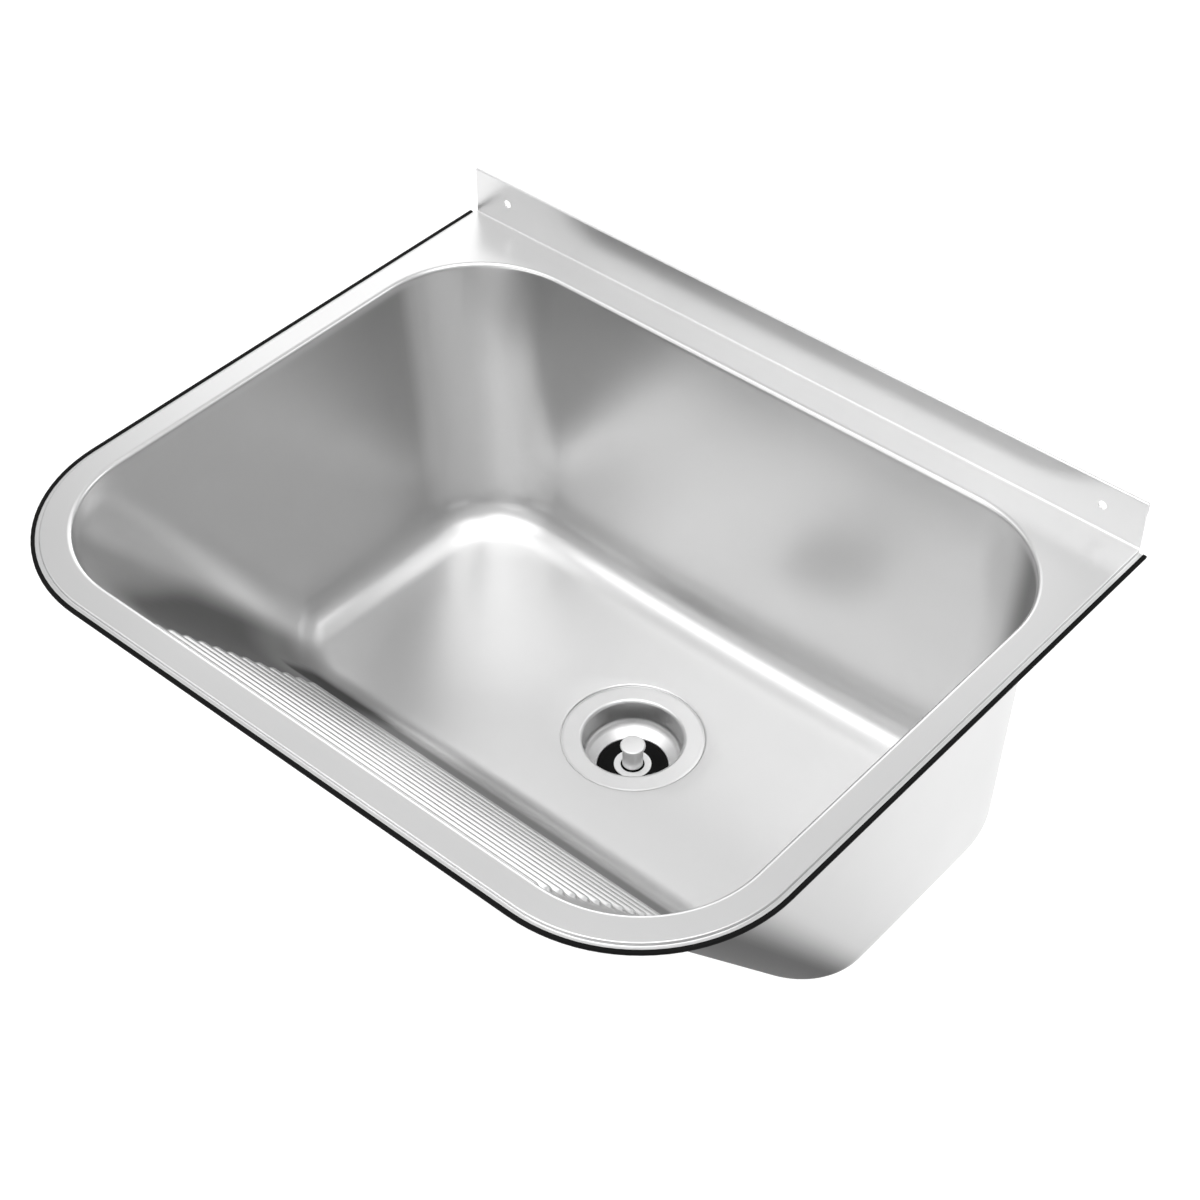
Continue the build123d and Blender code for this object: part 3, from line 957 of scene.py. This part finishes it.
def flatRun(column):
    # shares of the flat deck from the seam to its edge, with one close to the edge
    edge = rimPoint(column, rimForm["deckInset"] + rimForm["stepEdge"])
    seam = wallPoint(column, 0.0, 0.0)[:2]
    shares = list(np.linspace(0.0, 1.0, rimForm["flatRows"]))
    shares.insert(-1, 1.0 - rimForm["margin"] / np.linalg.norm(edge - seam))
    return [between(seam, edge, share) for share in shares]


def rimBand(columns, sections):
    # a band of closed sections, capped at both ends beyond the flat deck
    flatCount = rimForm["flatRows"] + 1
    verts, faces = [], []
    for column, section in zip(columns, sections):
        flat = flatRun(column)
        ring = [(x, y, 0.0) for x, y in flat[:-1]] + section
        ring += [(x, y, -rimForm["sheet"]) for x, y in flat[-2::-1]]
        verts += ring
    size = len(ring)
    for column in range(len(columns) - 1):
        for row in range(size):
            after = (row + 1) % size
            here, there = column * size, (column + 1) * size
            faces.append((here + row, here + after, there + after, there + row))
    last = (len(columns) - 1) * size
    capRows = range(flatCount - 1, flatCount - 1 + len(sections[0]))
    faces += [tuple(capRows), tuple(last + row for row in reversed(capRows))]
    return verts, faces


def cutHoles(piece):
    form = rimForm
    steps, radius = form["holeSteps"], form["holeDiameter"] / 2
    for side in (-1, 1):
        verts = []
        for y in form["cutterReach"]:
            for step in range(steps):
                angle = 2 * math.pi * step / steps
                x = side * form["holeSpacing"] / 2 + radius * math.cos(angle)
                verts.append((x * mm, y * mm, radius * math.sin(angle) * mm))
        ends = [tuple(range(steps)), tuple(range(steps, 2 * steps))]
        cutter = newPiece("screwHole", verts, gridFaces(2, steps) + ends)
        faceOutwards(cutter)
        cut = piece.modifiers.new("screwHole", "BOOLEAN")
        cut.operation = "DIFFERENCE"
        cut.object = cutter
        applyModifiers(piece)
        bpy.data.objects.remove(cutter)


def makeRim():
    around, along = splitColumns()
    edge = rimForm["deckInset"] + rimForm["stepEdge"]
    stepped = [[(*rimPoint(c, inset), z) for inset, z in stepSection()] for c in around]
    folded = [[(rimPoint(c, edge)[0], y, z) for y, z in foldSection()] for c in along]
    verts, faces = rimBand(around, stepped)
    backVerts, backFaces = rimBand(along, folded)
    faces += [tuple(index + len(verts) for index in face) for face in backFaces]
    verts += backVerts
    places = np.array(verts) * mm + (0.0, 0.0, deckZ)
    piece = newPiece("rim_sheet", places, faces)
    faceOutwards(piece)
    cutHoles(piece)
    faceOutwards(piece)
    shadeSmooth(piece, 32.0)
    return piece


rim = makeRim()
dress(rim, "sink", basinSteel, "satin_stainless", "rim_deck")
print("rim made:", len(rim.data.polygons), "faces")


# edge strip: a rubber channel drawn along the flange's edge

stripForm = {
    "width": 2.6,
    "thickness": 2.2,
    "grip": 2.0,  # depth of the slot for the flange
    "slot": 1.0,
    "noseRadius": 0.6,
    "lipRadius": 0.25,
}


def makeStripTree():
    # draws the section along the path, upright all the way
    tree, size = newTree("drawStrip", ("Section",), "Object")
    path = addNode(tree, "GeometryNodeMeshToCurve", {"Mesh": size["Geometry"]})
    upright = addNode(tree, "GeometryNodeSetCurveNormal", {"Curve": path.outputs["Curve"]}, mode="Z_UP")
    section = addNode(tree, "GeometryNodeObjectInfo", {"Object": size["Section"]})
    outline = addNode(tree, "GeometryNodeMeshToCurve", {"Mesh": section.outputs["Geometry"]})
    draw = addNode(tree, "GeometryNodeCurveToMesh", {
        "Curve": upright.outputs["Curve"],
        "Profile Curve": outline.outputs["Curve"],
        "Fill Caps": True,
    })
    return closeTree(tree, size, draw.outputs["Mesh"])


def makeStrip():
    form = stripForm
    around, _ = splitColumns()
    flangeEdge = form["width"] - form["grip"]
    middle = (stripLow.z + stripHigh.z) / 2
    path = [(*(rimPoint(c, flangeEdge) * mm), middle) for c in around]
    half, gap, inner = form["thickness"] / 2, form["slot"] / 2, -form["grip"]
    lip, nose = form["lipRadius"], form["noseRadius"]
    corners = [(inner, -half), (flangeEdge, -half), (flangeEdge, half), (inner, half)]
    corners += [(inner, gap), (0.0, gap), (0.0, -gap), (inner, -gap)]
    outline = roundCorners(corners, [lip, nose, nose, lip, lip, 0.0, 0.0, lip], 4)
    loop = [(i, (i + 1) % len(outline)) for i in range(len(outline))]
    section = newPiece("stripSection", [(x * mm, y * mm, 0.0) for x, y in outline], [], loop)
    piece = newPiece("edge_channel", path, [], [(i, i + 1) for i in range(len(path) - 1)])
    runTree(piece, makeStripTree(), {"Section": section, "Material": blackRubber})
    bpy.data.objects.remove(section)
    faceOutwards(piece)
    shadeSmooth(piece, 35.0)
    return piece


strip = makeStrip()
dress(strip, "sink", blackRubber, "black_rubber", "edge_strip")
print("edge strip made:", len(strip.data.polygons), "faces")


# waste: pieces turned about the drain's axis, in millimetres

cupForm = {
    "sheet": 1.2,
    "bore": 69.2,
    "lipRadius": 2.4,
    "wallDepth": 20.0,
    "footRadius": 9.0,
    "ledgeWidth": 4.0,
    "ledgeBend": 1.0,
    "edgeWidth": 1.6,  # where the flange turns down to meet the seat
    "edgeDrop": 0.3,
    "edgeReach": 0.4,  # pressed outwards when the waste is clamped
}
spigotForm = {
    "bore": 41.0,
    "diameter": 47.8,
    "collarWidth": 4.5,
    "collarThickness": 2.5,
    "chamfer": 1.2,
    "edges": (0.3, 0.2, 0.5, 0.5, 0.4),  # from the foot of the bore up and over the collar
    "plainNeck": 3.0,  # between the collar and the thread
    "threadPitch": 2.309,
    "threadDepth": 1.3,
    "rowsPerPitch": 8,
}
stemForm = {
    "diameter": 6.0,
    "threadPitch": 1.0,
    "threadDepth": 0.5,
    "rowsPerPitch": 6,
    "runOut": 0.6,
    "chamfer": 0.5,
}
threadForm = {
    "rootShare": 0.15,  # of half a pitch, at the bottom of the groove
    "flankSlope": 1.45,
    "margin": 0.1,  # from the ends of the thread to its first and last rows
}
knobForm = {
    "postDiameter": 14.3,
    "headDiameter": 17.5,
    "headThickness": 2.8,
    "headEdge": 1.0,
    "headCrown": 0.4,
    "footEdge": 0.3,
    "neckEdge": 0.4,
    "crownSteps": 6,
    "stemInside": 12.0,
}
nutForm = {
    "bore": 71.6,
    "wall": 10.5,
    "lugCount": 8,
    "lugWidth": 7.0,
    "lugReach": 4.0,
    "lugEdge": 0.8,
    "rimEdge": 0.5,
    "rimMiddle": 0.15,  # how far the middle of the rounded rim stands in
}
hexForm = {
    "flats": 10.0,
    "bore": 6.0,
    "chamferAngle": 30.0,
    "faceShare": 0.97,  # of the flats, where the chamfer starts
    "boreChamfer": 0.3,
    "steps": 72,
}
crossForm = {
    "edge": 0.3,
    "edgeSegments": 2,
    "edgeAngle": 50.0,
}
neckRadius = cupForm["bore"] / 2 + cupForm["sheet"]
postRadius = knobForm["postDiameter"] / 2
stemRadius = stemForm["diameter"] / 2
# flat rings: radius of the bore, radii of the corners from the lower inside one round,
# steps of each corner and steps round the ring
ringForm = {
    "flange_ring": (40.0, [0.2] * 4, 4, 96),
    "floor_gasket": (neckRadius + 0.5, [0.6] * 4, 4, 96),
    "fibre_ring": (neckRadius + 0.5, [0.15] * 4, 4, 96),
    "stopper_disc": (stemRadius, [0.0, 0.5, 0.5, 0.0], 5, 112),
    "disc_ring": (postRadius + 1.1, [0.2] * 4, 4, 96),
    "disc_backing": (stemRadius, [0.2] * 4, 4, 96),
    "stem_sleeve": (stemRadius, [0.0, 1.0, 1.0, 0.0], 5, 48),
}


def makeCup():
    form = cupForm
    half = form["sheet"] / 2
    top = level("drain_cup", 1)
    neck = form["bore"] / 2 + half
    ledge = spigotForm["bore"] / 2 + form["ledgeWidth"] + half
    edge = cupHigh.x / mm + form["edgeReach"]
    points = [
        (edge, top - form["edgeDrop"] - half),
        (edge - form["edgeWidth"], top - half),
        (neck, top - half),
        (neck, top - form["wallDepth"] - half),
        (ledge, level("stopper_seal", 1) - half),
        (ledge, level("stopper_seal", 0) - half),
        (spigotForm["bore"] / 2, level("stopper_seal", 0) - half),
    ]
    bends = [form["lipRadius"], form["lipRadius"] - half, form["footRadius"] + half]
    bends += [form["ledgeBend"], form["ledgeBend"]]
    return turnPiece("drain_bowl", sheetOutline(points, bends, form["sheet"], 10), 128)


def makeRing(name, node):
    # as wide and as thick as its node
    inner, edges, edgeSteps, steps = ringForm[name]
    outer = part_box(node)[1].x / mm
    low, high = level(node, 0), level(node, 1)
    corners = [(inner, low), (outer, low), (outer, high), (inner, high)]
    return turnPiece(name, roundCorners(corners, edges, edgeSteps), steps)


def makeThreadTree():
    # sinks the marked points along a right-hand thread
    tree, size = newTree("cutThread", ("Pitch", "Depth", "Low", "High", "Run Out", "Axis Y"))
    do = partial(calc, tree)
    place = readPlace(tree)
    x, z = place["X"], place["Z"]
    y = do("SUBTRACT", place["Y"], size["Axis Y"])
    turn = do("DIVIDE", do("ARCTAN2", y, x), 2 * math.pi)
    phase = do("FRACT", do("SUBTRACT", do("DIVIDE", z, size["Pitch"]), turn))
    ridge = do("MULTIPLY", do("ABSOLUTE", do("SUBTRACT", phase, 0.5)), 2.0)
    ridge = do("MULTIPLY", do("SUBTRACT", ridge, threadForm["rootShare"]), threadForm["flankSlope"])
    ridge = do("MINIMUM", do("MAXIMUM", ridge, 0.0), 1.0)
    fromLow = do("DIVIDE", do("SUBTRACT", z, size["Low"]), size["Run Out"])
    fromHigh = do("DIVIDE", do("SUBTRACT", size["High"], z), size["Run Out"])
    ends = do("MINIMUM", do("MINIMUM", fromLow, fromHigh), 1.0)
    ends = do("MULTIPLY", do("MAXIMUM", ends, 0.0), readMark(tree, "cut"))
    sink = do("MULTIPLY", do("SUBTRACT", 1.0, ridge), ends)
    sink = do("MULTIPLY", sink, do("MULTIPLY", size["Depth"], -1.0))
    spoke = addNode(tree, "ShaderNodeCombineXYZ", {"X": x, "Y": y}).outputs["Vector"]
    unit = addNode(tree, "ShaderNodeVectorMath", {0: spoke}, operation="NORMALIZE").outputs["Vector"]
    push = addNode(tree, "ShaderNodeVectorMath", {0: unit, "Scale": sink}, operation="SCALE")
    return movePoints(tree, size, push.outputs["Vector"])


threadTree = makeThreadTree()


def cutThread(piece, form, outer, low, high, runOut, material):
    # only the outside of the piece between two levels is cut
    places = [vert.co for vert in piece.data.vertices]
    heights = np.array([place.z / mm for place in places])
    spokes = np.array([math.hypot(place.x, place.y - drainY) / mm for place in places])
    cut = (spokes > outer - form["threadDepth"] - 0.01) & (heights > low) & (heights < high)
    markPoints(piece, "cut", cut.astype(float))
    runTree(piece, threadTree, {
        "Pitch": form["threadPitch"] * mm,
        "Depth": form["threadDepth"] * mm,
        "Low": low * mm,
        "High": high * mm,
        "Run Out": runOut * mm,
        "Axis Y": drainY,
        "Material": material,
    })
    shadeSmooth(piece, 35.0)


def makeSpigot():
    form = spigotForm
    bore, outer = form["bore"] / 2, form["diameter"] / 2
    top, foot = level("outlet_spigot", 1), level("outlet_spigot", 0)
    under = top - form["collarThickness"]
    threadTop, threadFoot = under - form["plainNeck"], foot + form["chamfer"]
    collar = outer + form["collarWidth"]
    corners = [(bore, foot), (bore, top), (collar, top), (collar, under), (outer, under)]
    outline = roundCorners(corners, form["edges"], 3)
    rows = round((threadTop - foot - form["chamfer"]) / form["threadPitch"] * form["rowsPerPitch"])
    outline += [(outer, z) for z in np.linspace(threadTop, threadFoot, rows)]
    outline += [(outer - form["chamfer"], foot)]
    # the outline starts and ends at the foot of the bore
    piece = turnPiece("outlet_pipe", outline, 112)
    low = threadFoot - threadForm["margin"]
    cutThread(piece, form, outer, low, threadTop, form["threadPitch"], outletBrass)
    return piece


def makeStem():
    form, radius = stemForm, stemRadius
    top, foot = level("stopper_stem", 1), level("stopper_stem", 0)
    low, high = level("stem_grip", 1) - 1.0, level("stem_nut", 0) + 1.0
    rows = round((high - low) / form["threadPitch"] * form["rowsPerPitch"])
    outline = [(0.0, foot), (radius - form["chamfer"], foot), (radius, foot + form["chamfer"])]
    outline += [(radius, z) for z in np.linspace(low, high, rows)]
    outline += [(radius, top - form["chamfer"]), (radius - form["chamfer"], top), (0.0, top)]
    piece = turnPiece("stopper_rod", outline, 40)
    margin = threadForm["margin"]
    cutThread(piece, form, radius, low + margin, high - margin, form["runOut"], turnedSteel)
    return piece


def makeKnob():
    form = knobForm
    foot, top = level("stopper_knob", 0), level("stopper_knob", 1)
    post, head, stem = postRadius, form["headDiameter"] / 2, stemRadius
    underHead = top - form["headThickness"]
    edge = form["headEdge"]
    corners = [(post, foot), (post, underHead), (head, underHead)]
    corners += [(head, top - form["headCrown"]), (0.0, top)]
    rim = roundCorners(corners, [form["footEdge"], form["neckEdge"], edge, edge, 0.0], 6)
    # the shallow crown of the head, from its rounded edge to the middle
    edgePoint = max(i for i, (radius, _) in enumerate(rim) if radius > head - 1.5 * edge)
    startRadius, startLevel = rim[edgePoint]
    crown = []
    for share in np.linspace(0.0, 1.0, form["crownSteps"] + 1)[1:]:
        radius = startRadius * (1.0 - share)
        crown.append((radius, startLevel + (top - startLevel) * (1.0 - (radius / startRadius) ** 2)))
    inside = [(0.0, foot + form["stemInside"]), (stem, foot + form["stemInside"]), (stem, foot)]
    return turnPiece("stopper_handle", list(rim[:edgePoint + 1]) + crown + inside, 96)


def lugOutline(inset):
    # outside of the lock nut from above, with its finger lugs
    form = nutForm
    body = form["bore"] / 2 + form["wall"] - inset
    tip = form["bore"] / 2 + form["wall"] + form["lugReach"] - inset
    half = form["lugWidth"] / 2 - inset
    pitch = 2 * math.pi / form["lugCount"]
    outline = []
    for lug in range(form["lugCount"]):
        turn = lug * pitch
        foot = math.asin(half / body)
        flank = [(body, -half), (tip, -half), (tip, half), (body, half)]
        spoke = np.array([math.cos(turn), math.sin(turn)])
        side = np.array([-spoke[1], spoke[0]])
        corners = [spoke * out + side * across for out, across in flank]
        outline.append(corners[0] * body / np.linalg.norm(corners[0]))
        for index in (1, 2):
            arc = bend(corners[index - 1], corners[index], corners[index + 1], form["lugEdge"], 4)
            outline += [point for point, _ in arc]
        outline.append(corners[3] * body / np.linalg.norm(corners[3]))
        for angle in np.linspace(turn + foot, turn + pitch - foot, 12)[1:-1]:
            outline.append(np.array([math.cos(angle), math.sin(angle)]) * body)
    return outline


def makeLockNut():
    form = nutForm
    low, high = level("lock_nut", 0), level("lock_nut", 1)
    bore, edge, part = form["bore"] / 2, form["rimEdge"], form["rimMiddle"]
    outside = [(edge, low), (part, low + part), (0.0, low + edge)]
    outside += [(0.0, high - edge), (part, high - part), (edge, high)]
    rows = [[(x, y, z) for x, y in lugOutline(inset)] for inset, z in outside]
    angles = [math.atan2(y, x) for x, y in lugOutline(0.0)]
    for radius, z in ((bore + edge, high), (bore, high - edge), (bore, low + edge), (bore + edge, low)):
        rows.append([(radius * math.cos(a), radius * math.sin(a), z) for a in angles])
    places = np.array(rows).reshape(-1, 3) * mm + (0.0, drainY, 0.0)
    piece = newPiece("clamp_nut", places, gridFaces(len(rows), len(angles), True))
    faceOutwards(piece)
    shadeSmooth(piece, 30.0)
    return piece


def makeHexNut():
    # hexagon with its corners chamfered on both faces
    form = hexForm
    low, high = level("stem_nut", 0), level("stem_nut", 1)
    flat, bore = form["flats"] / 2, form["bore"] / 2
    face, inner = form["faceShare"] * flat, form["boreChamfer"]
    slope = math.tan(math.radians(form["chamferAngle"]))
    angles = [2 * math.pi * step / form["steps"] for step in range(form["steps"])]
    rows = [[] for _ in range(8)]
    for angle in angles:
        part = (angle % (math.pi / 3)) - math.pi / 6
        reach = flat / math.cos(part)
        drop = (reach - face) * slope
        ring = [(bore + inner, low), (face, low), (reach, low + drop), (reach, high - drop)]
        ring += [(face, high), (bore + inner, high), (bore, high - inner), (bore, low + inner)]
        for row, (radius, z) in zip(rows, ring):
            row.append((radius * math.sin(angle), radius * math.cos(angle), z))
    places = np.array(rows).reshape(-1, 3) * mm + (0.0, drainY, 0.0)
    piece = newPiece("stem_hex", places, gridFaces(len(rows), len(angles), True))
    faceOutwards(piece)
    shadeSmooth(piece, 25.0)
    return piece


def makeCross():
    # the moulded cross keeps its solid's shape, with its edges softened
    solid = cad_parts["guide_cross"]
    piece = bpy.data.objects.new("stem_guide", solid.data.copy())
    bpy.context.scene.collection.objects.link(piece)
    faceOutwards(piece)
    soften = piece.modifiers.new("edges", "BEVEL")
    soften.width = crossForm["edge"] * mm
    soften.segments = crossForm["edgeSegments"]
    soften.limit_method = "ANGLE"
    soften.angle_limit = math.radians(crossForm["edgeAngle"])
    applyModifiers(piece)
    shadeSmooth(piece, 35.0)
    return piece


waste = [
    (makeCup(), "sink", cupSteel, "bright_stainless", "drain_cup"),
    (makeRing("flange_ring", "flange_seal"), "sink", blackRubber, "black_rubber", "flange_seal"),
    (makeRing("floor_gasket", "underside_gasket"), "sink", blackRubber, "black_rubber", "underside_gasket"),
    (makeRing("fibre_ring", "slip_washer"), "sink", slipFibre, "slip_fibre", "slip_washer"),
    (makeLockNut(), "sink", nutPlastic, "nut_plastic", "lock_nut"),
    (makeSpigot(), "sink", outletBrass, "outlet_brass", "outlet_spigot"),
    (makeCross(), "sink", nutPlastic, "nut_plastic", "guide_cross"),
    (makeRing("stopper_disc", "stopper_seal"), "stopper", blackRubber, "black_rubber", "stopper_seal"),
    (makeRing("disc_ring", "stopper_washer"), "stopper", knobSteel, "bright_stainless", "stopper_washer"),
    (makeKnob(), "stopper", knobSteel, "bright_stainless", "stopper_knob"),
    (makeStem(), "stopper", turnedSteel, "bright_stainless", "stopper_stem"),
    (makeRing("disc_backing", "stopper_backing"), "stopper", turnedSteel, "bright_stainless",
     "stopper_backing"),
    (makeHexNut(), "stopper", turnedSteel, "bright_stainless", "stem_nut"),
    (makeRing("stem_sleeve", "stem_grip"), "stopper", blackRubber, "black_rubber", "stem_grip"),
]
for piece, body, material, slotName, node in waste:
    dress(piece, body, material, slotName, node)
print("waste made:", len(waste), "pieces")


# studio: pale floor under the sink, soft panels of light and the camera of the photograph

studio = {
    "floorDrop": 0.58,  # deck over the floor
    "floorSize": 30.0,
    "floorTone": grey(0.92),
    "floorGlow": 0.22,
    "skyTone": grey(0.61),
    "target": (0.0, -0.25, -0.12),  # what the panels face
    "distance": 2.0,
    "cameraPlace": (0.7166, -1.0093, 0.9427),
    "cameraTilt": 46.44,
    "cameraTurn": 40.89,
    "lens": 71.96,
}
# direction round from the right and up from level, width, height, watts
panels = {
    "top": (0.0, 89.5, 1.05, 1.05, 9.3),
    "frontHigh": (270.0, 60.0, 2.4, 0.94, 11.0),
    "frontLow": (258.0, 12.0, 1.9, 0.8, 7.4),
    "backLow": (120.0, 12.0, 1.02, 0.8, 5.3),
    "backMid": (128.0, 35.0, 1.4, 0.8, 3.2),
    "rightHigh": (0.0, 60.0, 0.79, 0.94, 3.3),
    "rightBack": (60.0, 35.0, 0.86, 0.8, 3.7),
    "leftSide": (200.0, 45.0, 1.2, 1.0, 2.4),
}


def makeFloor():
    half = studio["floorSize"] / 2
    z = deckZ - studio["floorDrop"]
    corners = [(-half, -half, z), (half, -half, z), (half, half, z), (-half, half, z)]
    floor = newPiece("floor", corners, [(0, 1, 2, 3)])
    paint = {"Base Color": studio["floorTone"], "Roughness": 0.8, "Emission Color": grey(1.0)}
    material, tree, shader = newMaterial("floorPaint", paint)
    # what the camera, metal or glass sees of the floor is whiter, and keeps its shadow
    rays = addNode(tree, "ShaderNodeLightPath").outputs
    seen = calc(tree, "MAXIMUM", rays["Is Camera Ray"], rays["Is Glossy Ray"])
    seen = calc(tree, "MAXIMUM", seen, rays["Is Transmission Ray"])
    glow = calc(tree, "MULTIPLY", seen, studio["floorGlow"])
    feed(tree, shader.inputs["Emission Strength"], glow)
    floor.data.materials.append(material)


def makeSky():
    world = bpy.data.worlds.new("studioSky")
    world.use_nodes = True
    bpy.context.scene.world = world
    world.node_tree.nodes["Background"].inputs["Color"].default_value = studio["skyTone"]


def makeCamera():
    lens = bpy.data.cameras.new("photoCamera")
    lens.lens = studio["lens"]
    lens.sensor_width = 36.0
    camera = bpy.data.objects.new("photoCamera", lens)
    camera.location = studio["cameraPlace"]
    tilt, turn = math.radians(studio["cameraTilt"]), math.radians(studio["cameraTurn"])
    camera.rotation_euler = (tilt, 0.0, turn)
    bpy.context.scene.collection.objects.link(camera)
    bpy.context.scene.camera = camera


def makePanel(name, turn, rise, width, height, power):
    lamp = bpy.data.lights.new(name, "AREA")
    lamp.shape = "RECTANGLE"
    lamp.size, lamp.size_y = width, height
    lamp.energy = power
    turn, rise = math.radians(turn), math.radians(rise)
    flat = math.cos(rise)
    away = Vector((flat * math.cos(turn), flat * math.sin(turn), math.sin(rise)))
    panel = bpy.data.objects.new(name, lamp)
    panel.location = Vector(studio["target"]) + away * studio["distance"]
    panel.rotation_euler = (-away).to_track_quat("-Z", "Y").to_euler()
    panel.visible_camera = False
    bpy.context.scene.collection.objects.link(panel)


makeFloor()
makeSky()
makeCamera()
for name, setting in panels.items():
    makePanel(name, *setting)
bpy.context.scene.view_settings.view_transform = "Standard"
print("studio made")
